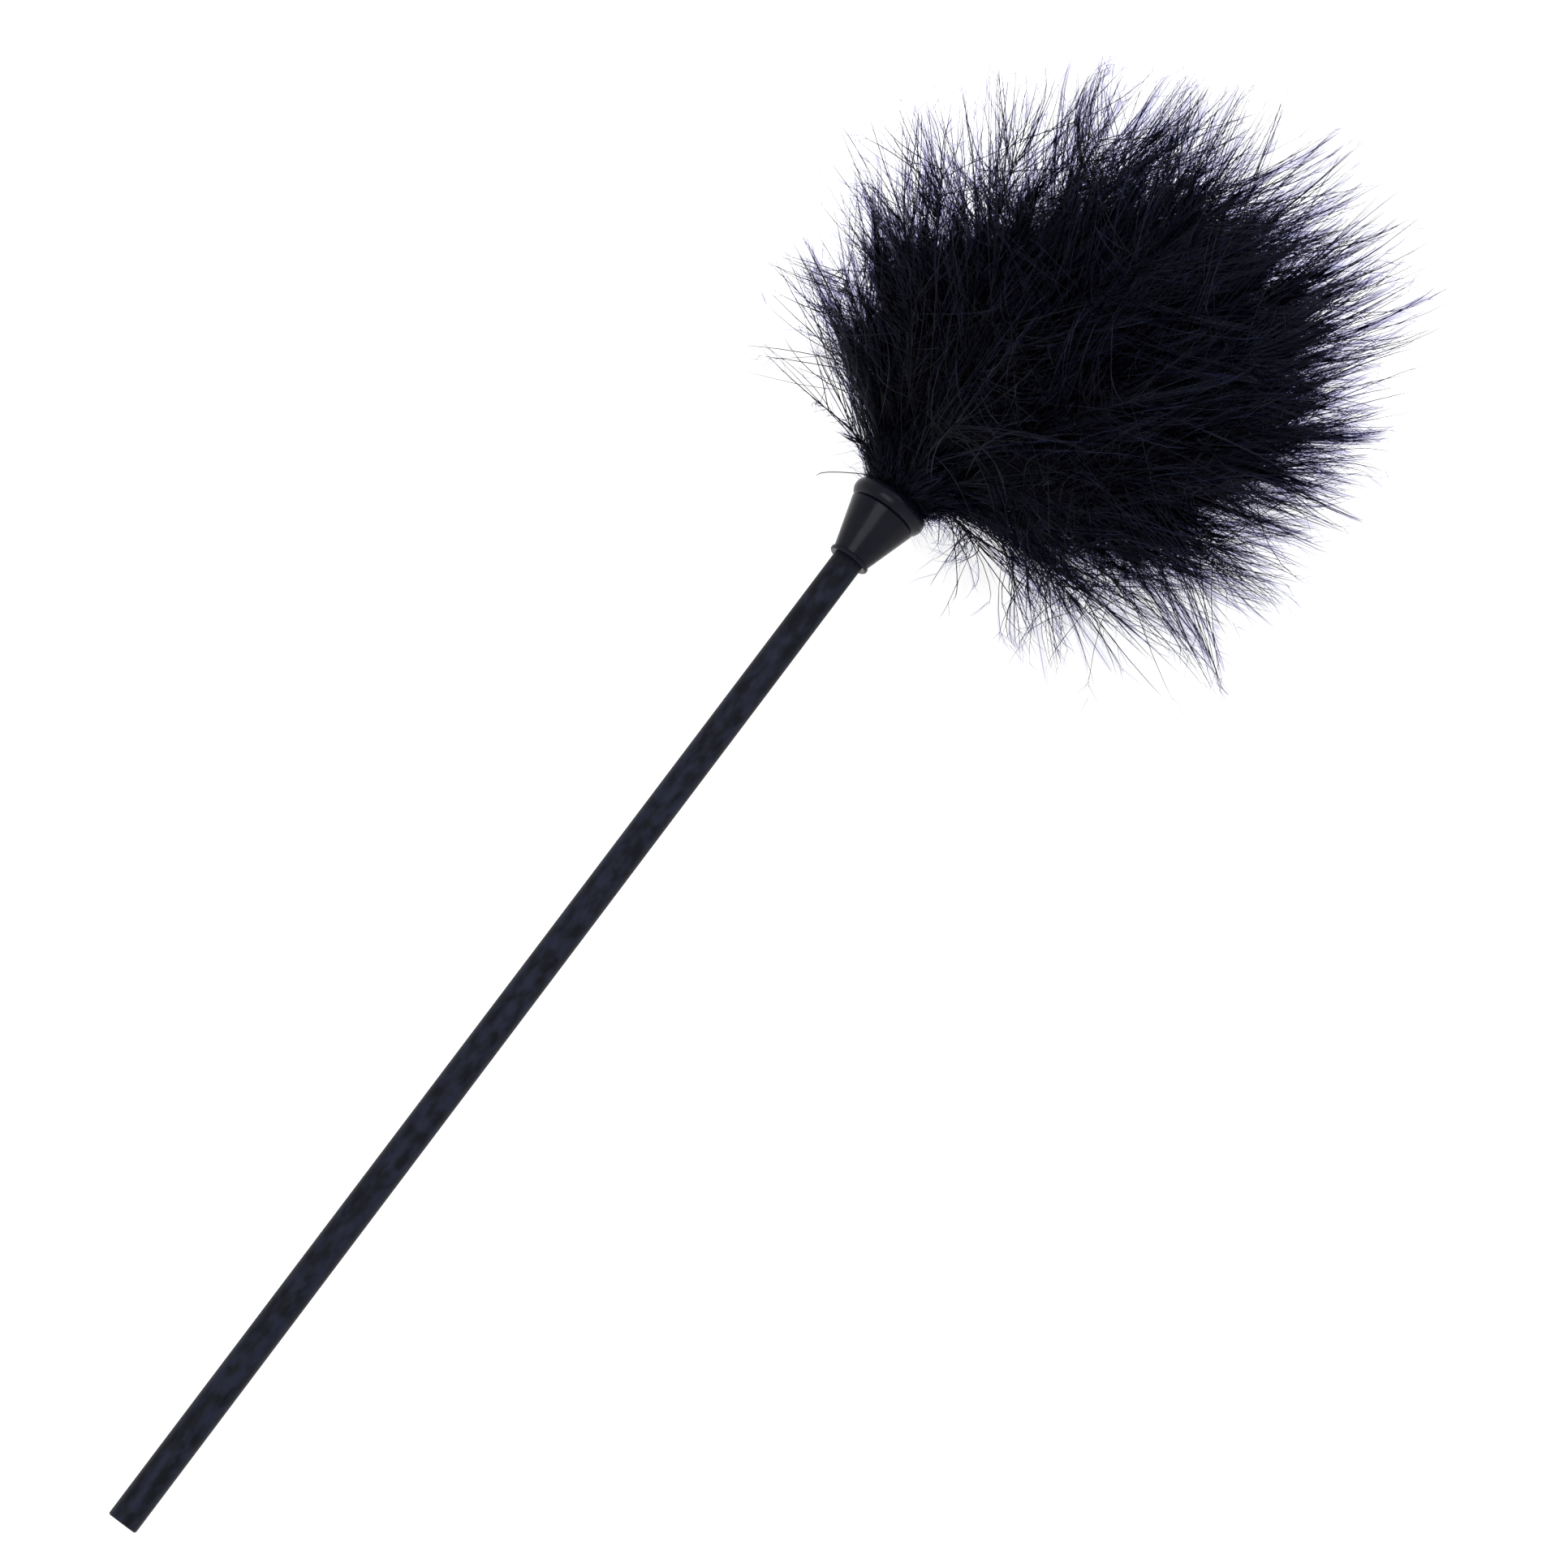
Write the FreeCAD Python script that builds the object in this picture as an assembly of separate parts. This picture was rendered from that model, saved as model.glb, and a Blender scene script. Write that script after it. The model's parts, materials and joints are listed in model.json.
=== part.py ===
import FreeCAD, Part
import math
import os

from FreeCAD import Placement, Rotation, Vector

# A small hand duster, in millimetres: a thin stick, a moulded cone on its end, and a
# head of marabou plumes bound round the end of the stick inside the cone.
# "Station" is the distance from the butt of the stick along its axis. The duster lies
# on its side on the plane z = 0, with its head towards +X.

# Stick: a plain dowel with a square-cut butt
STICK_RADIUS = 3.8
STICK_LENGTH = 298.0
STICK_EDGE = 0.35
TENON_RADIUS = 3.5           # the end inside the cone is turned down
STICK_SLOPE = 8.0            # degrees above the table, because the head is thicker

# Cone: a hollow moulding with a lip at the stick and a bead round its mouth
CONE_START = 282.0
CONE_LENGTH = 19.0
CONE_WALL = 0.95
SOCKET_RADIUS = TENON_RADIUS + 0.05
SOCKET_LENGTH = 2.6
LIP_RADIUS = 5.25
LIP_LENGTH = 1.2
NECK_RADIUS = 4.85           # just behind the lip
SHOULDER_RADIUS = 8.65       # where the smooth cone meets the bead
BEAD_RADIUS = 9.8
BEAD_LENGTH = 4.6
GROOVE_LENGTH = 0.5          # between the smooth cone and the bead
GROOVE_DEPTH = 0.35
MOUTH_RADIUS = 8.35          # inside the bead
MOUTH = CONE_START + CONE_LENGTH
NECK = CONE_START + LIP_LENGTH
SHOULDER = MOUTH - BEAD_LENGTH - GROOVE_LENGTH

# Quills: bare roots in two layers round the end of the stick
QUILL_RADIUS = 0.5
INNER_LAYER = STICK_RADIUS + QUILL_RADIUS + 0.1
OUTER_LAYER = INNER_LAYER + 2 * QUILL_RADIUS + 0.15
INNER_ROOT = 289.0
OUTER_ROOT = 292.0
ROOT_SHARES = (0.0, 0.35, 0.7)   # of the root's length, where its cross-sections are set
QUILL_EXIT = MOUTH - 0.5

# Binding thread, wound over both layers
THREAD_RADIUS = 0.25
THREAD_TURNS = 6
THREAD_START = 293.6
THREAD_CLEARANCE = 0.1       # from the quills

# Glue that fills the mouth between the quills
GLUE_START = 297.0
GLUE_END = 300.0
GLUE_CLEARANCE = 0.1         # from the wall of the cone
POCKET_CLEARANCE = 0.06      # round each quill

# Head: the tips of the plumes lie on a ball, which sags to one side and downwards
HEAD_CENTRE = 358.0          # station of its middle
HEAD_SHIFT = 15.5            # towards -Y
HEAD_SAG = 4.0               # downwards
HEAD_RADIUS = 70.0
TABLE_CLEARANCE = 0.35       # of the middle of a plume that lies on the table

# Rings of plumes: name, number, angle of their tips from the head's far pole, and the
# layer of quills that they grow from
RINGS = (
    ("plume_crown", 4, 17.0, "inner"),
    ("plume_upper", 8, 45.0, "inner"),
    ("plume_side", 11, 75.0, "inner"),
    ("plume_skirt", 11, 103.0, "outer"),
    ("plume_collar", 8, 129.0, "outer"),
)
EXIT_BEND = 0.45             # share of a plume's whole turn that it leaves the mouth at
TIP_BEND = 1.2               # the same at its tip
ROOT_PULL = 0.34             # lengths of the curve's handles, as shares of its chord
TIP_PULL = 0.36

# A vane is a thin leaf: half its width along its length, as shares of its widest
VANE_HALF_WIDTH = 11.0       # at most, where its neighbours leave room
VANE_SPACING = 0.47          # half its width, as a share of the way to its neighbour
VANE_HALF_THICKNESS = 0.9
ROUNDEST = 0.98              # depth against width, where a section is nearly round
VANE_STATIONS = (0.0, 0.14, 0.3, 0.46, 0.62, 0.78, 0.91, 1.0)
VANE_SHAPE = (0.0, 0.03, 0.3, 0.7, 1.0, 0.9, 0.5, 0.08)

AXIS = Vector(0, 0, 1)
SLOPE = math.radians(STICK_SLOPE)
BUTT_HEIGHT = STICK_RADIUS * math.cos(SLOPE) - STICK_EDGE * math.sin(SLOPE)
LAID_DOWN = Placement(Vector(0, 0, BUTT_HEIGHT), Rotation(Vector(0, 1, 0), 90.0 - STICK_SLOPE))


def revolved(edges):
    """The solid of a closed outline in the XZ plane, turned round the stick's axis."""
    face = Part.Face(Part.Wire(edges))
    return face.revolve(Vector(0, 0, 0), AXIS, 360)


def outline(points):
    """Straight edges through the points, given as (radius, station)."""
    corners = [Vector(r, 0, s) for r, s in points]
    return [Part.makeLine(a, b) for a, b in zip(corners, corners[1:])]


def arc(start, middle, end):
    """A round edge through three points, given as (radius, station)."""
    a, b, c = (Vector(r, 0, s) for r, s in (start, middle, end))
    return Part.Arc(a, b, c).toShape()


def stick():
    """The dowel: a broken edge at its butt, and the thinner end that the cone covers."""
    return revolved(outline([
        (0, 0),
        (STICK_RADIUS - STICK_EDGE, 0),
        (STICK_RADIUS, STICK_EDGE),
        (STICK_RADIUS, CONE_START),
        (TENON_RADIUS, CONE_START),
        (TENON_RADIUS, STICK_LENGTH),
        (0, STICK_LENGTH),
        (0, 0),
    ]))


def cavity_radius(station):
    """The inside of the cone: even with its smooth side, then straight to its mouth."""
    if station > SHOULDER:
        share = (station - SHOULDER) / (MOUTH - SHOULDER)
        inner = SHOULDER_RADIUS - CONE_WALL
        return inner + share * (MOUTH_RADIUS - inner)
    share = (station - NECK) / (SHOULDER - NECK)
    return NECK_RADIUS + share * (SHOULDER_RADIUS - NECK_RADIUS) - CONE_WALL


def cone():
    """The ferrule: lip, smooth cone, groove, bead and the hollow inside."""
    bead_start = MOUTH - BEAD_LENGTH
    groove = (SHOULDER_RADIUS - GROOVE_DEPTH, bead_start)
    bead_top = (BEAD_RADIUS, bead_start + 0.5 * BEAD_LENGTH)
    bead_end = (MOUTH_RADIUS + 0.55, MOUTH)
    lip_round = 0.3
    socket_end = CONE_START + SOCKET_LENGTH
    lip_side = [
        (SOCKET_RADIUS, CONE_START),
        (LIP_RADIUS - lip_round, CONE_START),
        (LIP_RADIUS, CONE_START + lip_round),
        (LIP_RADIUS, NECK - lip_round),
        (NECK_RADIUS, NECK),
        (SHOULDER_RADIUS, SHOULDER),
        groove,
    ]
    inside = [
        bead_end,
        (MOUTH_RADIUS, MOUTH),
        (cavity_radius(SHOULDER), SHOULDER),
        (cavity_radius(socket_end), socket_end),
        (SOCKET_RADIUS, socket_end),
        (SOCKET_RADIUS, CONE_START),
    ]
    return revolved(outline(lip_side) + [arc(groove, bead_top, bead_end)] + outline(inside))


def thread():
    """The wound band: one scallop for each turn, over a straight inside."""
    inner = OUTER_LAYER + QUILL_RADIUS + THREAD_CLEARANCE
    edges = []
    for turn in range(THREAD_TURNS):
        low = THREAD_START + 2 * THREAD_RADIUS * turn
        high = low + 2 * THREAD_RADIUS
        crest = (inner + 2 * THREAD_RADIUS, low + THREAD_RADIUS)
        edges.append(arc((inner + THREAD_RADIUS, low), crest, (inner + THREAD_RADIUS, high)))
    end = THREAD_START + 2 * THREAD_RADIUS * THREAD_TURNS
    edges += outline([
        (inner + THREAD_RADIUS, end),
        (inner, end),
        (inner, THREAD_START),
        (inner + THREAD_RADIUS, THREAD_START),
    ])
    return revolved(edges)


def on_layer(layer, azimuth, station):
    """A point in the middle of a quill that stands straight in one of the two layers."""
    radius = INNER_LAYER if layer == "inner" else OUTER_LAYER
    return Vector(radius * math.cos(azimuth), radius * math.sin(azimuth), station)


def pocket(layer, azimuth):
    """The hole that one quill leaves in the glue."""
    foot = on_layer(layer, azimuth, GLUE_START - 1)
    return Part.makeCylinder(QUILL_RADIUS + POCKET_CLEARANCE, GLUE_END - GLUE_START + 2, foot, AXIS)


def glue(dowel, pockets):
    """The plug of glue in the mouth, shaped round the stick and the quills."""
    plug = Part.makeCone(
        cavity_radius(GLUE_START) - GLUE_CLEARANCE,
        cavity_radius(GLUE_END) - GLUE_CLEARANCE,
        GLUE_END - GLUE_START,
        Vector(0, 0, GLUE_START),
        AXIS,
    )
    return plug.cut([dowel] + pockets)


def ring_tips(count, angle, phase):
    """Where the tips of one ring of plumes end, standing along the stick's axis."""
    polar = math.radians(angle)
    middle = Vector(HEAD_SAG, -HEAD_SHIFT, HEAD_CENTRE)
    tips = []
    for k in range(count):
        turn = 2 * math.pi * (k + phase) / count
        out = Vector(math.sin(polar) * math.cos(turn), math.sin(polar) * math.sin(turn), math.cos(polar))
        tips.append(middle + out * HEAD_RADIUS)
    return tips


def azimuth_of(point):
    return math.atan2(point.y, point.x) % (2 * math.pi)


def root_azimuths(tips):
    """Evenly spaced places round the stick, each as near as it can be to its tip's side."""
    step = 2 * math.pi / len(tips)
    order = sorted(range(len(tips)), key=lambda k: azimuth_of(tips[k]))
    slips = [azimuth_of(tips[k]) - step * place for place, k in enumerate(order)]
    offset = sum(slips) / len(slips)
    azimuths = [0.0] * len(tips)
    for place, k in enumerate(order):
        azimuths[k] = step * place + offset
    return azimuths


def plumes():
    """Every plume: its name, ring, layer, root azimuth and centreline."""
    found = []
    for layer in ("inner", "outer"):
        names, tips = [], []
        for number, (name, count, angle, of_layer) in enumerate(RINGS):
            if of_layer == layer:
                names += [(name, k + 1) for k in range(count)]
                tips += ring_tips(count, angle, 0.5 * (number % 2))
        for (name, k), tip, azimuth in zip(names, tips, root_azimuths(tips)):
            curve = centreline(layer, azimuth, tip)
            found.append((f"{name}_{k:02d}", name, layer, azimuth, curve))
    return found


def half_width(feather, feathers):
    """The widest that a vane can be, and still leave room for those of its own ring."""
    name, ring, _, _, curve = feather
    others = [f[4] for f in feathers if f[1] == ring and f[0] != name]
    room = [VANE_HALF_WIDTH]
    for station, shape in zip(VANE_STATIONS, VANE_SHAPE):
        if shape > VANE_SHAPE[1]:
            here = curve.value(station)
            nearest = min(here.distanceToPoint(other.value(station)) for other in others)
            room.append(VANE_SPACING * nearest / shape)
    return min(room)


def turned(azimuth, angle):
    """A direction that leans from the axis by angle, towards azimuth."""
    flat = Vector(math.cos(azimuth), math.sin(azimuth), 0)
    return AXIS * math.cos(angle) + flat * math.sin(angle)


def centreline(layer, azimuth, tip):
    """The curve of a plume from the cone's mouth to its tip, laid down on the table."""
    start = on_layer(layer, azimuth, QUILL_EXIT)
    chord = tip - start
    lean = math.acos(chord.z / chord.Length)
    heading = azimuth_of(chord)
    poles = [
        start,
        start + AXIS * (0.1 * chord.Length),
        start + turned(heading, EXIT_BEND * lean) * (ROOT_PULL * chord.Length),
        tip - turned(heading, TIP_BEND * lean) * (TIP_PULL * chord.Length),
        tip,
    ]
    poles = [LAID_DOWN.multVec(p) for p in poles]
    poles = [Vector(p.x, p.y, max(p.z, TABLE_CLEARANCE)) for p in poles]
    curve = Part.BezierCurve()
    curve.setPoles(poles)
    return curve


def section(middle, along, across, wide):
    """One oval cross-section of a feather: nearly round on the quill, flat on the vane."""
    side = (across - along * across.dot(along)).normalize()
    deep = min(ROUNDEST * wide, VANE_HALF_THICKNESS)
    ellipse = Part.Ellipse(middle + side * wide, middle + along.cross(side) * deep, middle)
    return Part.Wire(ellipse.toShape())


def plume(layer, azimuth, curve, widest):
    """One feather: a bare straight root, then a thin leaf along the curve, flat where it
    lies on the table. The leaf's flat side faces the outside of the head."""
    turn = LAID_DOWN.Rotation
    across = turn.multVec(Vector(-math.sin(azimuth), math.cos(azimuth), 0))
    root = INNER_ROOT if layer == "inner" else OUTER_ROOT
    sections = []
    for share in ROOT_SHARES:
        middle = on_layer(layer, azimuth, root + share * (QUILL_EXIT - root))
        sections.append(section(LAID_DOWN.multVec(middle), turn.multVec(AXIS), across, QUILL_RADIUS))
    for station, shape in zip(VANE_STATIONS, VANE_SHAPE):
        along = Vector(*curve.tangent(station)[0])
        wide = max(QUILL_RADIUS, widest * shape)
        sections.append(section(curve.value(station), along, across, wide))
    feather = Part.makeLoft(sections, True, False)
    if feather.BoundBox.ZMin < 0:
        size = 1000.0
        below = Part.makeBox(size, size, size, Vector(-0.5 * size, -0.5 * size, -size))
        feather = feather.cut(below)
    return feather


def laid(shape):
    """A copy of a shape that stands along +Z, laid down with its butt on the table."""
    copy = shape.copy()
    copy.Placement = LAID_DOWN.multiply(copy.Placement)
    return copy


def to_origin(shapes):
    """The move that puts the middle of the box round the shapes over the origin."""
    box = FreeCAD.BoundBox()
    for shape in shapes:
        box.add(shape.optimalBoundingBox(False, False))
    return Vector(-box.Center.x, -box.Center.y, 0)


def main():
    os.makedirs("parts", exist_ok=True)
    dowel = stick()
    feathers = plumes()
    pockets = [pocket(layer, azimuth) for _, _, layer, azimuth, _ in feathers]
    nodes = {
        "handle_rod": laid(dowel),
        "ferrule_cone": laid(cone()),
        "binding_thread": laid(thread()),
        "glue_fill": laid(glue(dowel, pockets)),
    }
    for feather in feathers:
        name, _, layer, azimuth, curve = feather
        nodes[name] = plume(layer, azimuth, curve, half_width(feather, feathers))
    move = to_origin(nodes.values())
    for name, shape in nodes.items():
        solids = shape.Solids
        if len(solids) != 1 or not solids[0].isValid():
            raise ValueError(f"{name} isn't one valid solid")
        solid = solids[0].copy()
        solid.translate(move)
        solid.exportStep(f"parts/{name}.step")
    print("origin moved by", move)


main()
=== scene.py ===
import json
import math

import bpy
import numpy as np
from mathutils import Matrix, Vector


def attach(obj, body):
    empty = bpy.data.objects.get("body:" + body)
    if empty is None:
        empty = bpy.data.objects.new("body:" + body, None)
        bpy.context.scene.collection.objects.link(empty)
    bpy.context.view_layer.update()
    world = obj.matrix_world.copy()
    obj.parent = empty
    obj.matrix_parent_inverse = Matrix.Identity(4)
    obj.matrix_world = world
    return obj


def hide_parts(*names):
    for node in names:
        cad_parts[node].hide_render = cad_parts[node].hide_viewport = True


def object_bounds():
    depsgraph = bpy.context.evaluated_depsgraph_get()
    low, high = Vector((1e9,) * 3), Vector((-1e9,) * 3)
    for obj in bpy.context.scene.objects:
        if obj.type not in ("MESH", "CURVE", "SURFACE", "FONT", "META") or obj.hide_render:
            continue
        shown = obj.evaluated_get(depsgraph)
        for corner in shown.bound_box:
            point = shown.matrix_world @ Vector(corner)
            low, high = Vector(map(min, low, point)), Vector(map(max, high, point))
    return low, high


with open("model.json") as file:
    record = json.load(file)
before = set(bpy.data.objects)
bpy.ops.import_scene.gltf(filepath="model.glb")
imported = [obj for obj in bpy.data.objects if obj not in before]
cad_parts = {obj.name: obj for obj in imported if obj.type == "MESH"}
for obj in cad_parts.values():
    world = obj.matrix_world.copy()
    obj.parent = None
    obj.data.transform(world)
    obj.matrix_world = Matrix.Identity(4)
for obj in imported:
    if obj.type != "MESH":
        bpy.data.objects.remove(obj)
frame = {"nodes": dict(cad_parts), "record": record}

cad_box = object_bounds()

# ---------------------------------------------------------------------------
# Sizes, in metres. "Station" is the distance from the butt along the stick.
# ---------------------------------------------------------------------------
MM = 0.001
CONE_MOUTH = 301 * MM
QUILL_EXIT = 300.5 * MM
HEAD_STATION = 358 * MM
HEAD_SHIFT = 15.5 * MM       # towards -Y
HEAD_SAG = 4 * MM            # downwards
TABLE_GAP = 0.35 * MM
THREAD_START = 293.6 * MM
THREAD_TURNS = 6
THREAD_RADIUS = 0.25 * MM
WINDING_RADIUS = 6.4 * MM    # of the middle of the wound thread

# Bend of a plume, as in the CAD part
EXIT_BEND = 0.45
TIP_BEND = 1.2
ROOT_PULL = 0.34
TIP_PULL = 0.36
FIRST_PULL = 0.1             # straight stretch at the mouth, as a share of the chord
ROOT_SLAB = 0.2 * MM         # how much of a leaf's two ends is taken as its end point
TIP_SLAB = 0.5 * MM

# Camera, which also sets the side that the head's outline is shaped for
CAMERA_AZIMUTH = -53.76
CAMERA_ELEVATION = 65.0
CAMERA_DISTANCE = 1.05
CAMERA_LENS = 104.35
SENSOR = 36.0
AIM = (0.00641, -0.01034, -0.00359)  # from the middle of the CAD box
STICK_ANGLE = 37.02          # of the stick from upright in the picture

# Outline of the fluff: a ball with a few swellings and hollows, each at an angle
# clockwise from the stick, with its height or depth and its width in degrees
DENSE_RADIUS = 39 * MM
SWELLINGS = (
    (46, 13 * MM, 26),
    (84, 8 * MM, 26),
    (215, 3 * MM, 18),
    (258, 16 * MM, 25),
)
HOLLOWS = (
    (184, 12 * MM, 13),
    (314, 14 * MM, 23),
    (352, 10 * MM, 34),
)
FADE = 8.5 * MM              # how far wisps reach past it on average, at FADE_AT
FADE_AT = 85 * MM            # from the mouth; nearer the mouth they reach less far
FADE_POWER = 1.3             # how fast their reach grows with the distance
SPREAD_LIMITS = (0.08, 2.0)  # least and most of it
ROOT_SPREAD = 0.4            # more than its root's own spread, at most
REACH_NOISE = 4 * MM         # of a barb round its wisp
LOOSE_SHARE = 0.33           # of the barbs that stay single
LOOSE_FADE = 25 * MM         # how far those reach on average
FRINGE = 52 * MM             # the longest wisp beyond the dense ball
LEAST_SEEN = 0.05            # share of a direction that must lie across the view
HANGING = (167, 0.5, 24)     # where wisps hang further: angle, how much further, width
ROOM_SHARE = 0.03            # how far a barb may pass the CAD box, of each side
ROOM = 4 * MM                # and beside that
FUZZ_ROOM = 4 * MM           # how much further the down on it may reach

# Strands of each plume
BARBS = 950                  # of a plume that reaches 100 mm out of the cone
WISP_BARBS = 5               # in a group that shares a tip
TUFT_BARBS = 26              # in a loose group of wisps
FUZZ = 1500                  # fine down
BARB_LENGTH = 74 * MM
BARB_RADIUS = 0.13 * MM
FUZZ_LENGTH = 8 * MM
FUZZ_RADIUS = 0.07 * MM
HAZE_SHARE = 0.35            # of the barbs that have a veil of the finest down
HAZE_RADIUS = 0.8 * MM
HAZE_FROM = 0.35             # where it starts along the barb
HAZE_FULL = 22 * MM          # the length at which it has its full radius
QUILL_RADIUS = 0.5 * MM
QUILL_SHARE = 0.9            # of a plume's length that has a quill
OUTER_SPAN = 50 * MM         # the outer part of the quill, which most barbs grow from
OUTER_BARBS = 0.65           # their share
NECK = 0.2                   # the inner part of the quill, of its length
NECK_BARBS = 0.15            # the share of barbs that are added there
COLLAR = 0.06                # the part of the quill nearest the mouth
COLLAR_BARBS = 0.04          # the share of short barbs there, which hide the mouth's rim
COLLAR_LENGTH = 11 * MM
NECK_REACH = 45 * MM         # from the mouth, inside which barbs follow their plume
NECK_AHEAD = 8 * MM          # middle of the ball that fills the neck, from the mouth
NECK_RADIUS = 15 * MM

# How barbs leave the quill and sweep outwards
INNERMOST = 0.02             # of the quill's length, where the first barbs grow
FIRST_ANGLE = 70             # degrees between quill and barb near the mouth
ANGLE_DROP = 26              # how much less it is at the tip
ANGLE_NOISE = 0.33
NECK_LEAN = 0.25             # share of the angle that barbs at the mouth have
ROLL_NOISE = 0.9             # radians round the quill, from the feather's two sides
KEEP_ON = 0.45               # later course: share of the first direction,
OUTWARD = 0.7                # of the way out of the head,
ONWARD = 0.65                # and of the way along the stick
ONWARD_BIAS = 0.6            # barbs that point back by more than this don't turn onward
FALLING = (0.7, 30, 150)     # hanging barbs: how much they fall, over what width, which way
COURSE_NOISE = 0.12
LENGTH_RANGE = (0.65, 1.2)   # shares of a barb's usual length
SHORTEST = 0.45              # share of the length near the mouth
LENGTHENING = 2.4            # how fast it grows along the quill
WAVE = 0.6 * MM              # sideways ripple of a barb
WAVE_RATES = (3, 8)          # radians along the barb
SWEEP_POINTS = 14            # along a barb before it is trimmed
TUFT_PULL = 0.35             # how far a barb's tip is drawn to its tuft,
WISP_PULL = 0.85             # to its wisp,
LOOSE_PULL = 0.3             # or, for a single barb, to the nearest wisp
TUFT_POWER = 1.5             # how late along the barb the pull starts
WISP_POWER = 1.2
PARALLEL = 0.99              # cosine from which a plume counts as straight ahead
UPRIGHT = 0.8                # and a strand as upright
BARB_PILE = (0.3 * MM, 3.5 * MM)  # height over the table of barbs that lie on it
FUZZ_PILE = (0.3 * MM, 3.0 * MM)
SOFT_HEIGHT = 7 * MM         # below which barbs are pressed together by the table
BARB_POINTS = 7              # along a barb or a veil after that

# Fine down on a barb
FUZZ_PLACE = (0.3, 0.98)     # shares of the barb's length between which it grows
FUZZ_SLANT = (0.35, 1.1)     # how far it first stands off the barb
FUZZ_ALONG = 0.5             # how much it turns back along the barb
FUZZ_NOISE = 0.35
FUZZ_LENGTHS = (0.4, 1.3)    # shares of the usual length
FUZZ_CUT = 0.4               # share that is left where it would reach too far
FUZZ_THINNING = 1.5          # how much of it is kept where the fringe is narrow
FUZZ_POINTS = 3

# Veils, tapers and the quill
HAZE_OFFSET = 0.5 * MM       # from its barb
HAZE_SIZES = (0.5, 1.3)      # shares of the usual radius
HAZE_ENDS = (0.06, 0.94)     # the stretch of a half wave that its outline follows
HAZE_POWER = 0.7
HAZE_GAP = 0.2 * MM          # over the table
BARB_SIZES = (0.6, 1.2)      # shares of the usual radius
BARB_TAPER = 0.75            # share of the radius that is lost at the end
FUZZ_TAPER = 0.6
QUILL_TAPER = 0.8
QUILL_POINTS = 30
QUILL_SHADE = 0.3            # stands for the random number that a barb has
QUILL_SIDES = 6
VEIL_SIDES = 4
FULL_PLUME = 100 * MM        # the reach at which a plume has the numbers above
WINDING_POINTS = 28          # in a turn
WINDING_SIDES = 8

# Light
FLOOR_HALF = 6.0
FLOOR_GLOW = 0.72
WORLD_STRENGTH = 1.3
LIGHTS = (                   # name, azimuth, elevation, distance, size, power
    ("key", -100, 55, 1.6, 1.0, 12),
    ("fill", 60, 50, 1.8, 1.2, 6),
    ("glint", 72, 50, 1.4, 0.22, 11),
)

SEED = 11

# ---------------------------------------------------------------------------
# The frame: the stick's axis from the record's mount
# ---------------------------------------------------------------------------
mounts = {m["name"]: m for m in frame["record"]["mounts"]}
BUTT = np.array(mounts["butt"]["pos_m"], float)
AXIS = -np.array(mounts["butt"]["axis"], float)
AXIS /= np.linalg.norm(AXIS)
DOWN = np.cross([0.0, 1.0, 0.0], AXIS)
MOUTH = BUTT + AXIS * CONE_MOUTH
HEAD = BUTT + AXIS * HEAD_STATION + DOWN * HEAD_SAG + np.array([0, -HEAD_SHIFT, 0])


def camera_axes():
    """Right, up and back of the camera."""
    a, e = math.radians(CAMERA_AZIMUTH), math.radians(CAMERA_ELEVATION)
    right = np.array([math.cos(a), math.sin(a), 0])
    back = np.array([math.sin(a) * math.cos(e), -math.cos(a) * math.cos(e), math.sin(e)])
    return right, np.cross(back, right), back


def clock(degrees):
    """The direction across the camera's view at an angle clockwise from the stick."""
    right, up, _ = camera_axes()
    turn = math.radians(degrees + STICK_ANGLE)
    return right * math.sin(turn) + up * math.cos(turn)


def unit(v):
    """Vectors along the last axis, scaled to a length of one."""
    return v / np.maximum(np.linalg.norm(v, axis=-1, keepdims=True), 1e-12)


def node_points(name):
    """The corners of a CAD node's mesh."""
    mesh = frame["nodes"][name].data
    co = np.zeros(len(mesh.vertices) * 3)
    mesh.vertices.foreach_get("co", co)
    return co.reshape(-1, 3)


def plume_poles(name):
    """The five control points of a plume's curve, from the two ends of its CAD node."""
    points = node_points(name)
    stations = (points - BUTT) @ AXIS
    root = points[stations < stations.min() + ROOT_SLAB].mean(0)
    start = root + AXIS * (QUILL_EXIT - (root - BUTT) @ AXIS)
    reach = np.linalg.norm(points - MOUTH, axis=1)
    tip = points[reach > reach.max() - TIP_SLAB].mean(0)
    chord = tip - start
    length = np.linalg.norm(chord)
    lean = math.acos(np.clip(chord @ AXIS / length, -1, 1))
    flat = unit(chord - AXIS * (chord @ AXIS))

    def turned(angle):
        return AXIS * math.cos(angle) + flat * math.sin(angle)

    poles = np.array([
        start,
        start + AXIS * FIRST_PULL * length,
        start + turned(EXIT_BEND * lean) * ROOT_PULL * length,
        tip - turned(TIP_BEND * lean) * TIP_PULL * length,
        tip,
    ])
    poles[:, 2] = np.maximum(poles[:, 2], TABLE_GAP)
    return root, poles


def bezier(poles, t):
    """Points and directions of a Bezier curve of any degree."""
    n = len(poles) - 1

    def weights(m, u):
        k = np.arange(m + 1)
        choose = np.array([math.comb(m, i) for i in k])
        return choose * u[:, None] ** k * (1 - u[:, None]) ** (m - k)

    return weights(n, t) @ poles, unit(weights(n - 1, t) @ np.diff(poles, axis=0))


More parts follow.
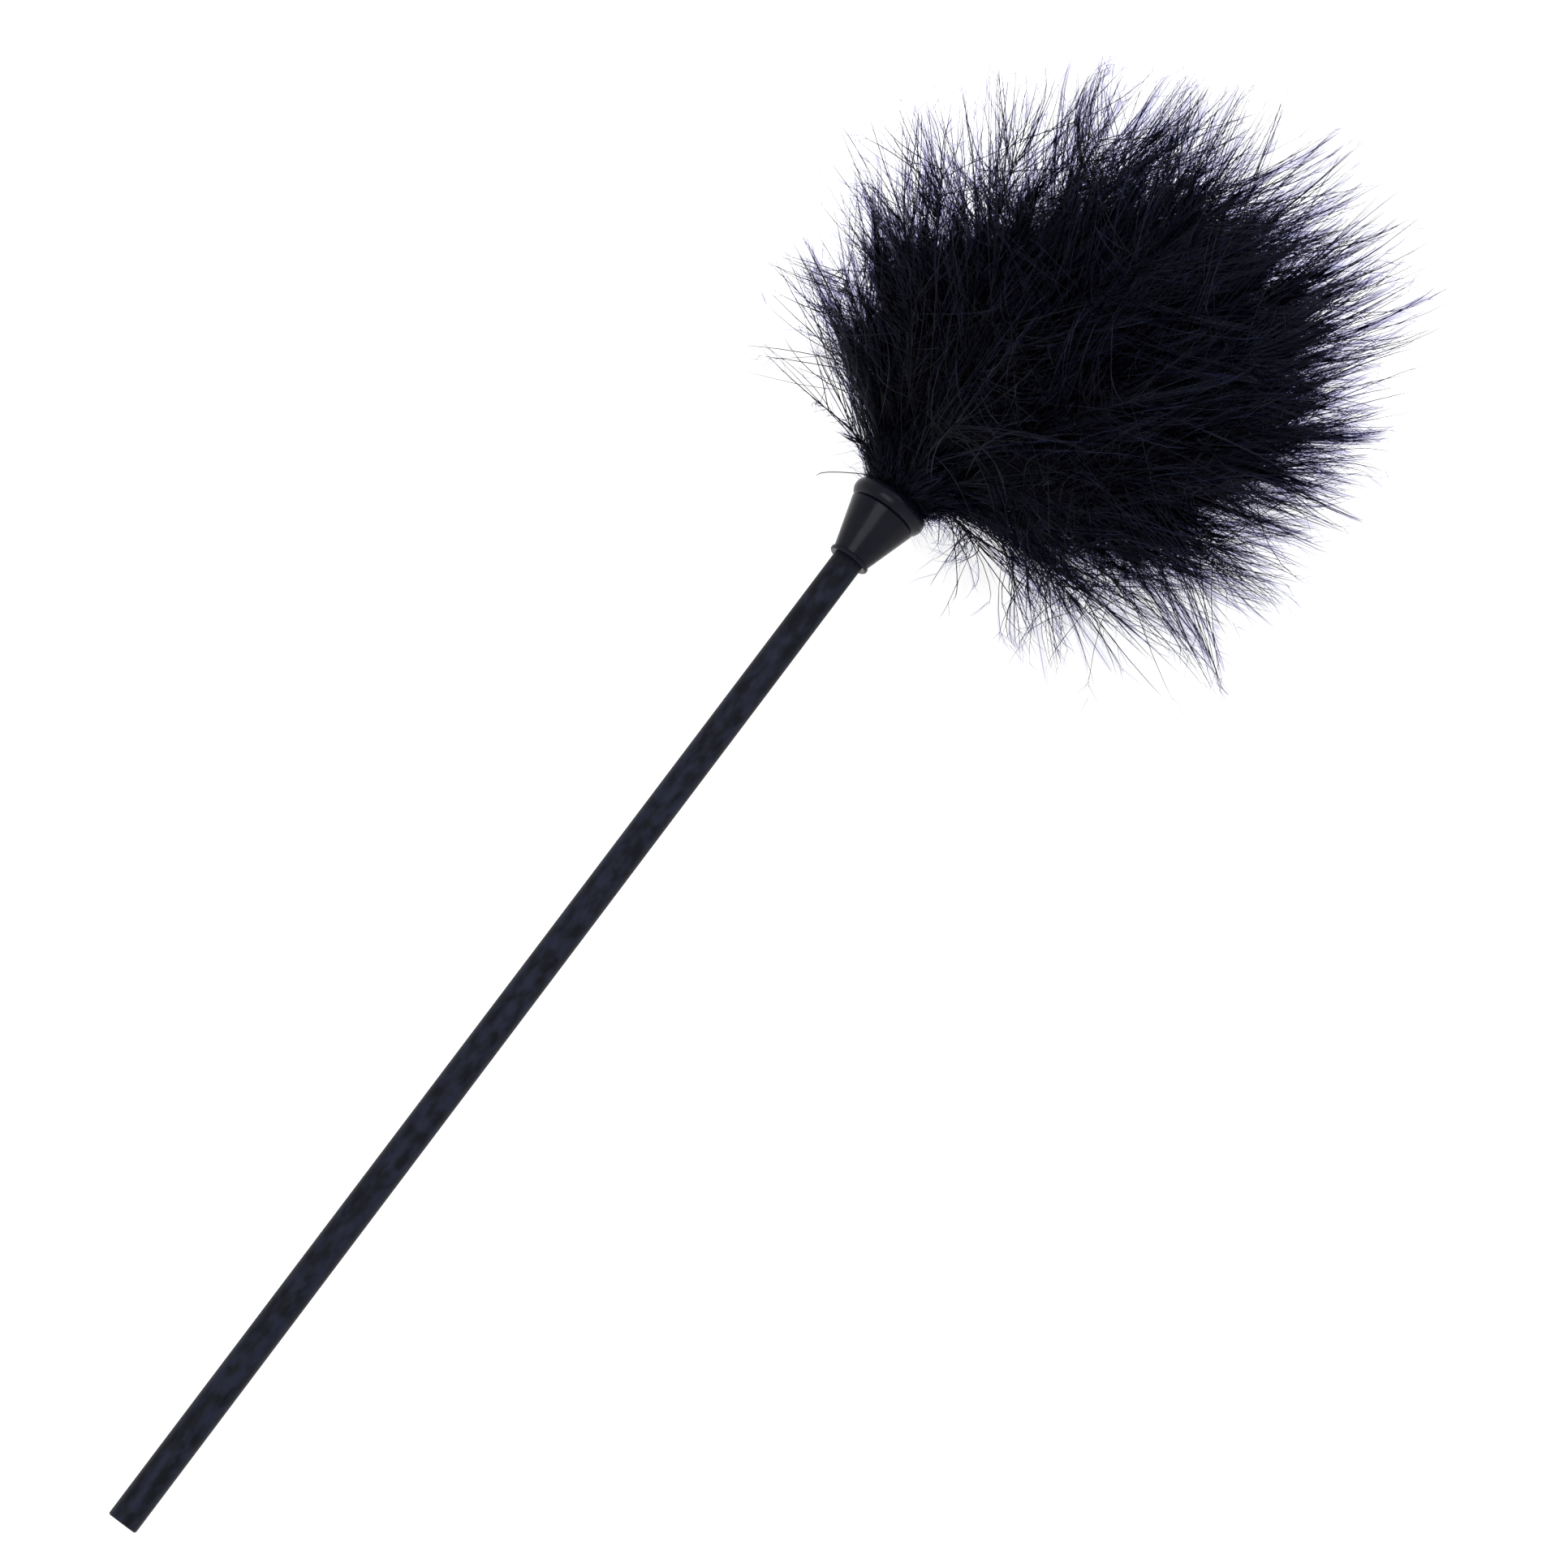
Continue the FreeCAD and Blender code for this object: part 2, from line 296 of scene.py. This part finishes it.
# ---------------------------------------------------------------------------
# Threads: closed tapered tubes that end in a point
# ---------------------------------------------------------------------------
class Threads:
    """Collects tubes and turns them into one mesh."""

    def __init__(self):
        self.verts, self.loops, self.sizes, self.tints, self.slots = [], [], [], [], []
        self.count = 0

    def add(self, paths, radii, shade, slot=0, sides=3, helper=None):
        """paths (n, k, 3), radii (n, k), shade (n): a random number for each strand. The
        helper is a direction that the paths never follow."""
        n, k = paths.shape[:2]
        along = unit(np.gradient(paths, axis=1))
        if helper is None:
            chord = unit(paths[:, -1] - paths[:, 0])
            upright = np.abs(chord[:, 2:]) >= UPRIGHT
            helper = np.where(upright, [[1.0, 0.0, 0.0]], [[0.0, 0.0, 1.0]])
        a = unit(np.cross(along, np.reshape(helper, (-1, 1, 3))))
        b = np.cross(along, a)
        turn = np.arange(sides) * 2 * math.pi / sides
        ring = a[:, :, None] * np.cos(turn)[:, None] + b[:, :, None] * np.sin(turn)[:, None]
        rings = paths[:, :-1, None] + ring[:, :-1] * radii[:, :-1, None, None]
        per = sides * (k - 1) + 1
        verts = np.concatenate([rings.reshape(n, -1, 3), paths[:, -1:]], axis=1)

        i = np.arange(k - 2)[:, None] * sides
        j = np.arange(sides)
        nxt = (j + 1) % sides
        quads = np.stack([i + j, i + nxt, i + sides + nxt, i + sides + j], -1).reshape(-1)
        last = sides * (k - 2)
        tips = np.stack([last + j, last + nxt, np.full(sides, per - 1)], -1).reshape(-1)
        face_loops = np.concatenate([j[::-1], quads, tips])
        sizes = np.concatenate([[sides], np.full(sides * (k - 2), 4), np.full(sides, 3)])
        starts = self.count + np.arange(n)[:, None] * per
        self.loops.append((starts + face_loops).reshape(-1))
        self.sizes.append(np.tile(sizes, n))
        self.verts.append(verts.reshape(-1, 3))

        share = np.append(np.repeat(np.linspace(0, 1, k)[:-1], sides), 1.0)
        colour = np.ones((n, per, 4))
        colour[..., 0] = share
        colour[..., 1] = shade[:, None]
        self.tints.append(colour.reshape(-1, 4))
        self.slots.append(np.full(n * len(sizes), slot))
        self.count += n * per

    def mesh(self, name):
        verts = np.concatenate(self.verts)
        loops = np.concatenate(self.loops)
        sizes = np.concatenate(self.sizes)
        mesh = bpy.data.meshes.new(name)
        mesh.vertices.add(len(verts))
        mesh.vertices.foreach_set("co", verts.ravel())
        mesh.loops.add(len(loops))
        mesh.loops.foreach_set("vertex_index", loops.astype(np.int32))
        mesh.polygons.add(len(sizes))
        mesh.polygons.foreach_set("loop_start", (np.cumsum(sizes) - sizes).astype(np.int32))
        mesh.polygons.foreach_set("use_smooth", np.ones(len(sizes), bool))
        mesh.polygons.foreach_set("material_index", np.concatenate(self.slots).astype(np.int32))
        mesh.update(calc_edges=True)
        tint = mesh.color_attributes.new("strand", "FLOAT_COLOR", "POINT")
        tint.data.foreach_set("color", np.concatenate(self.tints).ravel())
        mesh.validate()
        return mesh


def new_piece(name, mesh, materials, slot, *nodes):
    """A visual piece that stands for some CAD nodes."""
    piece = bpy.data.objects.new(name, mesh)
    bpy.context.scene.collection.objects.link(piece)
    for material in materials:
        mesh.materials.append(material)
    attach(piece, "root")
    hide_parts(*nodes)
    return piece


# ---------------------------------------------------------------------------
# Plumes
# ---------------------------------------------------------------------------
def settle(points, pile):
    """Presses what would go through the table into a thin pile on top of it."""
    z = points[..., 2]
    depth = SOFT_HEIGHT - pile
    low = pile + depth * np.exp(np.minimum(z - SOFT_HEIGHT, 0) / depth)
    out = points.copy()
    out[..., 2] = np.where(z < SOFT_HEIGHT, low, z)
    return out


def outside(points):
    """How far points lie past the room that the fluff may fill round the CAD box."""
    low, high = (np.array(corner, float) for corner in cad_box)
    spare = (high - low) * ROOM_SHARE + ROOM
    return np.maximum(points - high - spare, low - spare - points).max(-1)


def beyond(points, limit):
    """How far points lie past a limit from the head's middle; the ball that fills the
    neck in front of the mouth is always allowed."""
    head = np.linalg.norm(points - HEAD, axis=-1) - limit
    neck = np.linalg.norm(points - MOUTH - AXIS * NECK_AHEAD, axis=-1) - NECK_RADIUS
    return np.minimum(head, neck)


def trimmed(paths, limit, points):
    """Each path cut where it first passes its own limit, or the room round the CAD box."""
    n, k = paths.shape[:2]
    over = np.maximum(beyond(paths, limit[:, None]), outside(paths))
    past = over > 0
    first = np.where(past.any(1), past.argmax(1), k - 1)
    rows = np.arange(n)
    after, before = over[rows, first], over[rows, first - 1]
    share = np.where(past.any(1), -before / np.maximum(after - before, 1e-9), 1.0)
    end = np.clip(first - 1 + np.clip(share, 0, 1), 1.0, k - 1)
    place = end[:, None] * np.linspace(0, 1, points)
    low = np.minimum(place.astype(int), k - 2)
    part = (place - low)[..., None]
    return paths[rows[:, None], low] * (1 - part) + paths[rows[:, None], low + 1] * part


def off_angle(points, degrees):
    """How far points lie, in degrees round the picture, from a direction."""
    way = points - HEAD
    angle = np.degrees(np.arctan2(way @ clock(90), way @ clock(0)))
    return (angle - degrees + 180) % 360 - 180


def dense_radius(points):
    """How far from the head's middle the fluff is dense, on the way to each point. A
    swelling is a round bump, a hollow is a furrow along the line of sight."""
    way = unit(points - HEAD)
    radius = np.full(len(way), DENSE_RADIUS)
    for degrees, height, width in SWELLINGS:
        off = np.degrees(np.arccos(np.clip(way @ clock(degrees), -1, 1)))
        radius += height * np.exp(-((off / width) ** 2))
    outline = radius.copy()
    for degrees, depth, width in HOLLOWS:
        outline -= depth * np.exp(-((off_angle(points, degrees) / width) ** 2))
    seen = np.hypot(way @ clock(0), way @ clock(90))
    return np.minimum(radius, outline / np.maximum(seen, LEAST_SEEN))


def spread(points):
    """How much wider than usual the fringe is at each point: narrow near the mouth."""
    far = np.linalg.norm(points - MOUTH, axis=1) / FADE_AT
    degrees, further, width = HANGING
    hanging = further * np.exp(-((off_angle(points, degrees) / width) ** 2))
    return np.clip(far ** FADE_POWER + hanging, *SPREAD_LIMITS)


def roots(rng, span, n):
    """Places along the quill where n barbs grow, and which of them are in the collar."""
    share = np.where(rng.random(n) < OUTER_BARBS, min(OUTER_SPAN / span, 1.0), 1.0)
    t = QUILL_SHARE * (1 - rng.random(n) * share * (1 - INNERMOST))
    t = np.where(rng.random(n) < NECK_BARBS, rng.uniform(INNERMOST, NECK, n), t)
    collar = rng.random(n) < COLLAR_BARBS
    return np.where(collar, rng.uniform(INNERMOST, COLLAR, n), t), collar


def barb_paths(rng, poles, n):
    """Where n barbs leave the quill, their first and last directions and lengths."""
    chord = poles[-1] - poles[0]
    span = np.linalg.norm(chord)
    t, collar = roots(rng, span, n)
    root, along = bezier(poles, t)
    chord = chord / span
    flat = np.cross(chord, AXIS) if abs(chord @ AXIS) < PARALLEL else [0, 0, 1]
    side = unit(np.cross(unit(np.cross(along, flat)), along))
    face = np.cross(along, side)
    free = np.clip(np.linalg.norm(root - MOUTH, axis=1) / NECK_REACH, 0, 1)
    lean = np.where(collar, 1.0, NECK_LEAN + (1 - NECK_LEAN) * free)
    angle = rng.normal(1, ANGLE_NOISE, n) * (FIRST_ANGLE - ANGLE_DROP * t) * lean
    angle = np.radians(angle)[:, None]
    roll = (rng.choice([0, math.pi], n) + rng.normal(0, ROLL_NOISE, n))[:, None]
    across = side * np.cos(roll) + face * np.sin(roll)
    first = along * np.cos(angle) + across * np.sin(angle)
    ahead = root + first * 0.5 * BARB_LENGTH
    outward = unit(free[:, None] * (ahead - HEAD) + (1 - free[:, None]) * (ahead - MOUTH))
    onward = np.maximum(outward @ AXIS + ONWARD_BIAS, 0)[:, None] * AXIS
    amount, width, heading = FALLING
    fall = amount * np.exp(-((off_angle(ahead, HANGING[0]) / width) ** 2))
    falling = np.where(collar, 0.0, fall)[:, None] * clock(heading)
    later = unit(KEEP_ON * first + OUTWARD * outward + ONWARD * onward + falling
                 + rng.normal(0, COURSE_NOISE, (n, 3)))
    length = BARB_LENGTH * np.clip(SHORTEST + LENGTHENING * t, 0, 1)
    length = np.where(collar, COLLAR_LENGTH, length) * rng.uniform(*LENGTH_RANGE, n)
    return root, first, later, length


def curve(root, first, later, length, s):
    """Quadratic sweep from the first direction into the later one."""
    s = s[None, :, None]
    half = (length * 0.5)[:, None, None]
    return root[:, None] + half * (first[:, None] * (2 * s - s * s) + later[:, None] * s * s)


def nearest(paths, leaders):
    """For each path, the leader whose end is nearest."""
    return np.linalg.norm(paths[:, None, -1] - leaders[None, :, -1], axis=-1).argmin(1)


def gathered(paths, leaders, s, pull, power):
    """The paths drawn towards their nearest leaders, more so at their tips."""
    share = pull * s[None, :, None] ** power
    return paths + (leaders[nearest(paths, leaders)] - paths) * share


def barbs(rng, poles, n):
    """The barbs of one plume, gathered into wisps and tufts and trimmed to the outline."""
    s = np.linspace(0, 1, SWEEP_POINTS)
    paths = curve(*barb_paths(rng, poles, n), s)
    phase = rng.uniform(0, 6, (n, 1))
    rate = rng.uniform(*WAVE_RATES, (n, 1))
    wave = np.sin(s * rate + phase)[..., None] * rng.normal(0, WAVE, (n, 1, 3))
    paths = paths + wave * s[None, :, None]
    tufts, wisps = round(n / TUFT_BARBS), round(n / WISP_BARBS)
    home = nearest(paths, paths[tufts:tufts + wisps])
    loose = rng.random(n) < LOOSE_SHARE
    past = rng.exponential(FADE, wisps)[home] + rng.normal(0, REACH_NOISE, n)
    past = np.where(loose, rng.exponential(LOOSE_FADE, n), past)
    past *= np.minimum(spread(paths[:, -1]), ROOT_SPREAD + spread(paths[:, 0]))
    limit = dense_radius(paths[:, -1]) + np.minimum(past, FRINGE)
    inside = beyond(paths[:, 0], limit) < 0
    paths = trimmed(paths[inside], limit[inside], BARB_POINTS)
    s = np.linspace(0, 1, BARB_POINTS)
    paths = gathered(paths, paths[:tufts], s, TUFT_PULL, TUFT_POWER)
    pull = np.where(loose[inside], LOOSE_PULL, WISP_PULL)[:, None, None]
    paths = gathered(paths, paths[tufts:tufts + wisps], s, pull, WISP_POWER)
    return settle(paths, rng.uniform(*BARB_PILE, (len(paths), 1)))


def fuzz(rng, paths, n):
    """Fine down on the outer part of the barbs."""
    pick = rng.integers(0, len(paths), n)
    at = rng.uniform(*FUZZ_PLACE, n) * (BARB_POINTS - 1)
    low = np.minimum(at.astype(int), BARB_POINTS - 2)
    start = paths[pick, low] + (paths[pick, low + 1] - paths[pick, low]) * (at - low)[:, None]
    along = unit(paths[pick, low + 1] - paths[pick, low])
    off = unit(np.cross(along, rng.normal(0, 1, (n, 3))))
    first = unit(along + off * rng.uniform(*FUZZ_SLANT, (n, 1)))
    later = unit(first + FUZZ_ALONG * along + rng.normal(0, FUZZ_NOISE, (n, 3)))
    length = FUZZ_LENGTH * rng.uniform(*FUZZ_LENGTHS, n)
    far = outside(start + later * length[:, None]) > FUZZ_ROOM
    length = np.where(far, FUZZ_CUT * length, length)
    keep = rng.random(n) < FUZZ_THINNING * spread(start)
    down = curve(start, first, later, length, np.linspace(0, 1, FUZZ_POINTS))[keep]
    return settle(down, rng.uniform(*FUZZ_PILE, (len(down), 1)))


def haze(rng, paths):
    """A veil round the outer part of some barbs: its paths and its radii."""
    place = np.linspace(HAZE_FROM, 1, BARB_POINTS) * (BARB_POINTS - 1)
    low = np.minimum(place.astype(int), BARB_POINTS - 2)
    part = (place - low)[:, None]
    veils = paths[:, low] * (1 - part) + paths[:, low + 1] * part
    veils = veils + rng.normal(0, HAZE_OFFSET, (len(paths), 1, 3))
    length = np.linalg.norm(veils[:, -1] - veils[:, 0], axis=1)
    size = HAZE_RADIUS * np.minimum(length / HAZE_FULL, 1)
    size = size * rng.uniform(*HAZE_SIZES, len(paths))
    swell = np.sin(math.pi * np.linspace(*HAZE_ENDS, BARB_POINTS)) ** HAZE_POWER
    veils[..., 2] = np.maximum(veils[..., 2], size[:, None] + HAZE_GAP)
    return veils, size[:, None] * swell


def plume(rng, name, materials):
    """One feather in place of its CAD leaf: quill, barbs and down in one mesh."""
    root, poles = plume_poles(name)
    threads = Threads()
    t = np.linspace(0, 1, QUILL_POINTS)
    line, _ = bezier(poles, t * QUILL_SHARE)
    quill = np.concatenate([[root], line])[None]
    radii = QUILL_RADIUS * np.concatenate([[1.0], 1 - QUILL_TAPER * t])[None]
    threads.add(quill, radii, np.array([QUILL_SHADE]), sides=QUILL_SIDES)

    fullness = np.linalg.norm(poles[-1] - poles[0]) / FULL_PLUME
    paths = barbs(rng, poles, round(BARBS * fullness))
    taper = 1 - BARB_TAPER * np.linspace(0, 1, BARB_POINTS) ** 3
    radii = BARB_RADIUS * rng.uniform(*BARB_SIZES, (len(paths), 1)) * taper
    threads.add(paths, radii, rng.random(len(paths)))

    down = fuzz(rng, paths, round(FUZZ * fullness))
    taper = 1 - FUZZ_TAPER * np.linspace(0, 1, FUZZ_POINTS)
    radii = np.tile(FUZZ_RADIUS * taper, (len(down), 1))
    threads.add(down, radii, rng.random(len(down)), slot=1)
    veils, radii = haze(rng, paths[rng.random(len(paths)) < HAZE_SHARE])
    threads.add(veils, radii, rng.random(len(veils)), slot=2, sides=VEIL_SIDES)
    piece_name = name + "_down"
    return new_piece(piece_name, threads.mesh(piece_name), materials, "plume", name)


def winding(material):
    """The thread that binds the quills, as one wound thread."""
    turn = np.linspace(0, 2 * math.pi * THREAD_TURNS, WINDING_POINTS * THREAD_TURNS)
    side = np.array([0.0, 1.0, 0.0])
    height = THREAD_START + THREAD_RADIUS * (1 + turn / math.pi)
    line = (BUTT + AXIS * height[:, None]
            + (side * np.cos(turn)[:, None] + DOWN * np.sin(turn)[:, None]) * WINDING_RADIUS)
    threads = Threads()
    radii = np.full((1, len(turn)), THREAD_RADIUS)
    threads.add(line[None], radii, np.zeros(1), sides=WINDING_SIDES, helper=AXIS)
    mesh = threads.mesh("binding_winding")
    return new_piece("binding_winding", mesh, [material], "thread", "binding_thread")


# ---------------------------------------------------------------------------
# Materials
# ---------------------------------------------------------------------------
def new_material(name, roughness, specular):
    """A material, its node tree and its shader."""
    material = bpy.data.materials.new(name)
    material.use_nodes = True
    tree = material.node_tree
    shader = tree.nodes["Principled BSDF"]
    shader.inputs["Roughness"].default_value = roughness
    shader.inputs["Specular IOR Level"].default_value = specular
    return material, tree, shader


def add(tree, kind, **inputs):
    """A node with some of its input values set."""
    node = tree.nodes.new(kind)
    for key, value in inputs.items():
        node.inputs[key.replace("_", " ")].default_value = value
    return node


def ramp(tree, source, *stops):
    """A colour ramp over a value. The first two stops are its ends."""
    node = tree.nodes.new("ShaderNodeValToRGB")
    for i, (place, colour) in enumerate(stops):
        stop = node.color_ramp.elements[i] if i < 2 else node.color_ramp.elements.new(place)
        stop.position = place
        stop.color = (*colour, 1)
    tree.links.new(source, node.inputs["Fac"])
    return node.outputs["Color"]


def mix(tree, factor, a, b, blend="MIX"):
    """Two colours mixed, each a value or another node's output."""
    node = tree.nodes.new("ShaderNodeMix")
    node.data_type = "RGBA"
    node.blend_type = blend
    pairs = (node.inputs["Factor"], factor), (node.inputs[6], a), (node.inputs[7], b)
    for socket, value in pairs:
        if isinstance(value, bpy.types.NodeSocket):
            tree.links.new(value, socket)
        else:
            socket.default_value = value
    return node.outputs[2]


def noise(tree, scale, detail=3.0, stretch=(1, 1, 1)):
    """Noise over the piece's own coordinates."""
    coords = tree.nodes.new("ShaderNodeTexCoord")
    mapping = tree.nodes.new("ShaderNodeMapping")
    mapping.inputs["Scale"].default_value = stretch
    tree.links.new(coords.outputs["Object"], mapping.inputs["Vector"])
    node = add(tree, "ShaderNodeTexNoise", Scale=scale, Detail=detail)
    tree.links.new(mapping.outputs["Vector"], node.inputs["Vector"])
    return node.outputs["Fac"]


def bump(tree, shader, height, strength, distance):
    """Fine relief from a height."""
    node = add(tree, "ShaderNodeBump", Strength=strength, Distance=distance)
    tree.links.new(height, node.inputs["Height"])
    tree.links.new(node.outputs["Normal"], shader.inputs["Normal"])


def barb_material():
    """Black dyed barbs, a little greyer towards their tips."""
    material, tree, shader = new_material("marabou", 0.5, 0.1)
    strand = tree.nodes.new("ShaderNodeAttribute")
    strand.attribute_name = "strand"
    parts = tree.nodes.new("ShaderNodeSeparateColor")
    tree.links.new(strand.outputs["Color"], parts.inputs["Color"])
    tip = ramp(tree, parts.outputs["Red"], (0.0, (0.0013, 0.0019, 0.0045)),
               (1.0, (0.008, 0.0095, 0.022)), (0.6, (0.003, 0.004, 0.009)))
    shade = ramp(tree, parts.outputs["Green"],
                 (0.0, (0.5, 0.5, 0.5)), (1.0, (2.6, 2.8, 2.8)), (0.85, (1.1, 1.1, 1.1)))
    tree.links.new(mix(tree, 1.0, tip, shade, "MULTIPLY"), shader.inputs["Base Color"])
    return material


def down_material():
    """The finest down, so thin that what is behind it shows through with a lavender tint."""
    material, tree, shader = new_material("marabou_haze", 0.0, 0.0)
    shader.inputs["Transmission Weight"].default_value = 1.0
    shader.inputs["IOR"].default_value = 1.0
    colour = ramp(tree, noise(tree, 60.0),
                  (0.3, (0.2, 0.195, 0.36)), (0.7, (0.28, 0.275, 0.46)))
    tree.links.new(colour, shader.inputs["Base Color"])
    return material


def haze_material():
    """Down too fine to tell apart: a faint lavender tint on what is behind it."""
    material, tree, shader = new_material("marabou_veil", 0.0, 0.0)
    shader.inputs["Transmission Weight"].default_value = 1.0
    shader.inputs["IOR"].default_value = 1.0
    colour = ramp(tree, noise(tree, 90.0),
                  (0.3, (0.82, 0.815, 0.89)), (0.7, (0.89, 0.885, 0.94)))
    tree.links.new(colour, shader.inputs["Base Color"])
    return material


def stick_material():
    """Matte painted stick: blue-black with a faint mottle."""
    material, tree, shader = new_material("stick_black", 0.48, 0.08)
    mottle = noise(tree, 420.0, 8.0, (0.5, 1, 1))
    colour = ramp(tree, mottle,
                  (0.4, (0.0009, 0.0013, 0.0034)), (0.62, (0.0056, 0.0069, 0.0155)))
    tree.links.new(colour, shader.inputs["Base Color"])
    rough = add(tree, "ShaderNodeMapRange", To_Min=0.42, To_Max=0.58)
    tree.links.new(mottle, rough.inputs["Value"])
    tree.links.new(rough.outputs["Result"], shader.inputs["Roughness"])
    bump(tree, shader, noise(tree, 1800.0, 4.0, (0.3, 1, 1)), 0.25, 0.00005)
    return material


def cone_material():
    """Moulded black plastic with a fine eggshell grain."""
    material, tree, shader = new_material("cone_black", 0.2, 0.09)
    cloud = noise(tree, 140.0, 5.0)
    colour = ramp(tree, cloud,
                  (0.3, (0.0014, 0.0019, 0.0044)), (0.7, (0.0036, 0.0043, 0.0078)))
    tree.links.new(colour, shader.inputs["Base Color"])
    rough = add(tree, "ShaderNodeMapRange", To_Min=0.12, To_Max=0.3)
    tree.links.new(cloud, rough.inputs["Value"])
    tree.links.new(rough.outputs["Result"], shader.inputs["Roughness"])
    bump(tree, shader, noise(tree, 900.0, 4.0), 0.3, 0.0001)
    return material


def glue_material():
    """Dark, glossy hot glue."""
    material, tree, shader = new_material("glue_dark", 0.25, 0.5)
    colour = ramp(tree, noise(tree, 400.0, 4.0),
                  (0.3, (0.02, 0.017, 0.014)), (0.8, (0.06, 0.05, 0.04)))
    tree.links.new(colour, shader.inputs["Base Color"])
    bump(tree, shader, noise(tree, 900.0, 2.0), 0.5, 0.0002)
    return material


def thread_material():
    """Dull black thread."""
    material, tree, shader = new_material("thread_black", 0.7, 0.3)
    colour = ramp(tree, noise(tree, 3000.0, 2.0, (1, 4, 4)),
                  (0.3, (0.01, 0.01, 0.012)), (0.8, (0.03, 0.03, 0.035)))
    tree.links.new(colour, shader.inputs["Base Color"])
    bump(tree, shader, noise(tree, 5000.0, 2.0, (1, 4, 4)), 0.5, 0.0001)
    return material


# ---------------------------------------------------------------------------
# Stage: pale floor, soft studio light, camera
# ---------------------------------------------------------------------------
def make_stage():
    """The floor, which gives off a little light so that thin strands stand out on it."""
    far = FLOOR_HALF
    corners = [(-far, -far, 0), (far, -far, 0), (far, far, 0), (-far, far, 0)]
    mesh = bpy.data.meshes.new("floor")
    mesh.from_pydata(corners, [], [(0, 1, 2, 3)])
    floor = bpy.data.objects.new("floor", mesh)
    bpy.context.scene.collection.objects.link(floor)
    material, tree, shader = new_material("floor_white", 0.9, 0.1)
    pale = ramp(tree, noise(tree, 3.0), (0.3, (0.36, 0.36, 0.362)), (0.7, (0.38, 0.38, 0.38)))
    tree.links.new(pale, shader.inputs["Base Color"])
    shader.inputs["Emission Color"].default_value = (1, 1, 1, 1)
    shader.inputs["Emission Strength"].default_value = FLOOR_GLOW
    mesh.materials.append(material)


def area_light(name, azimuth, elevation, distance, size, power):
    """A square soft box that faces the origin."""
    light = bpy.data.lights.new(name, "AREA")
    light.shape = "SQUARE"
    light.size = size
    light.energy = power
    item = bpy.data.objects.new(name, light)
    a, e = math.radians(azimuth), math.radians(elevation)
    back = Vector((math.sin(a) * math.cos(e), -math.cos(a) * math.cos(e), math.sin(e)))
    item.location = back * distance
    item.rotation_euler = back.to_track_quat("Z", "Y").to_euler()
    bpy.context.scene.collection.objects.link(item)


def make_lights():
    """White surroundings and three soft boxes."""
    world = bpy.data.worlds.new("studio")
    bpy.context.scene.world = world
    world.use_nodes = True
    background = world.node_tree.nodes["Background"]
    background.inputs["Color"].default_value = (1.0, 1.0, 1.0, 1)
    background.inputs["Strength"].default_value = WORLD_STRENGTH
    for values in LIGHTS:
        area_light(*values)
    bpy.context.scene.view_settings.view_transform = "Standard"


def make_camera():
    """The camera, aimed from the middle of the CAD box."""
    camera = bpy.data.cameras.new("camera")
    camera.lens = CAMERA_LENS
    camera.sensor_width = SENSOR
    item = bpy.data.objects.new("camera", camera)
    bpy.context.scene.collection.objects.link(item)
    right, up, back = (Vector(axis) for axis in camera_axes())
    low, high = (Vector(corner) for corner in cad_box)
    place = (low + high) / 2 + Vector(AIM) + back * CAMERA_DISTANCE
    turn = Matrix((right, up, back)).transposed().to_4x4()
    item.matrix_world = Matrix.Translation(place) @ turn
    bpy.context.scene.camera = item


# ---------------------------------------------------------------------------
# Build
# ---------------------------------------------------------------------------
def dress(name, material):
    """A CAD node shown as it is, in its own material."""
    data = frame["nodes"][name].data
    data.materials.clear()
    data.materials.append(material)


rng = np.random.default_rng(SEED)
marabou = [barb_material(), down_material(), haze_material()]
for node in sorted(n for n in frame["nodes"] if n.startswith("plume_")):
    plume(rng, node, marabou)
dress("handle_rod", stick_material())
dress("ferrule_cone", cone_material())
dress("glue_fill", glue_material())
winding(thread_material())
make_stage()
make_lights()
make_camera()
